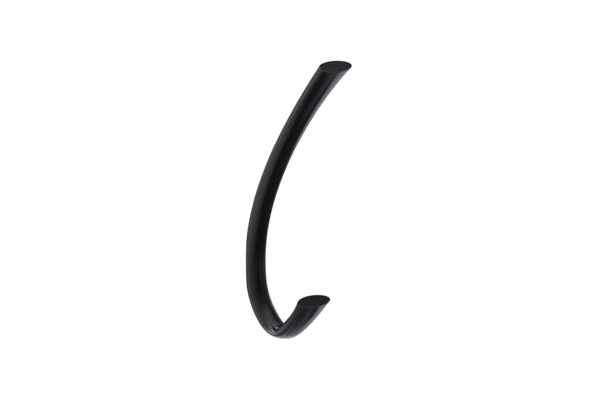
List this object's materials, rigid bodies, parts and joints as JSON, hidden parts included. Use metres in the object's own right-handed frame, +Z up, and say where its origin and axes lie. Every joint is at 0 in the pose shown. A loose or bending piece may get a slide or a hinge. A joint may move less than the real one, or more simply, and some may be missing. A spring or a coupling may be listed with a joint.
{
  "type": "coat hook",
  "caption": "Curved wall-mounted coat hook: one oval bar with a long upper arm that leans out from the wall and a short lower arm that curls up, both tips cut level.",
  "frame": {"origin": "on the wall plane, midway between the two tapped holes in the flat back", "axes": "+Z up along the wall, the hook stands out towards -Y, X runs along the wall, and X = 0 is the plane in which the bar is bent"},
  "size_m": [0.018, 0.0707, 0.1587],
  "materials": {
    "lacquer": "gloss black"
  },
  "bodies": {
    "root": {"hook": "lacquer"}
  },
  "joints": []
}
